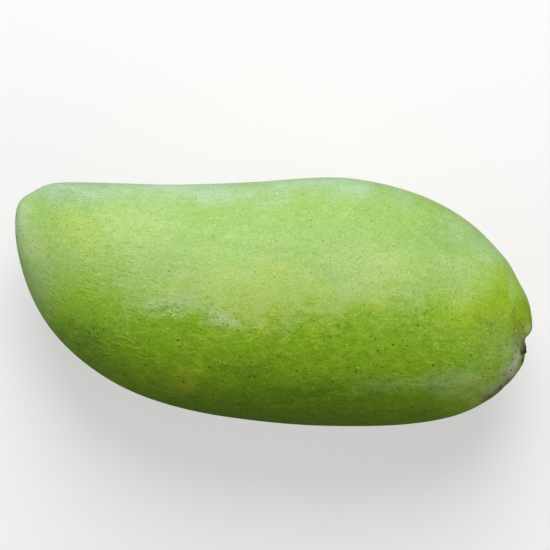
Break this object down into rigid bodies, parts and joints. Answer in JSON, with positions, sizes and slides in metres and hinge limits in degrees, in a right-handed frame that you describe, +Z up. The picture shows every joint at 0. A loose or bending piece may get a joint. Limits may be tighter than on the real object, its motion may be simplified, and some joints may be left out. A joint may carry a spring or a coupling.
{
  "type": "mango",
  "caption": "Whole green mango, as picked: long kidney-shaped fruit with a blunt beak end and a woody stem scar, lying on its broad side.",
  "frame": {"origin": "centre of the fruit's box, on the surface that it lies on", "axes": "+X along the fruit towards the stem end, +Y across it towards the front edge with the shallow hollow, +Z up through its thickness"},
  "size_m": [0.2121, 0.1023, 0.0829],
  "materials": {
    "skin": "smooth green fruit skin under a pale waxy bloom, with soft low gloss, fine pale and dark dots and a brown woody scar at the stem"
  },
  "bodies": {
    "root": {"mango": "skin"}
  },
  "joints": []
}
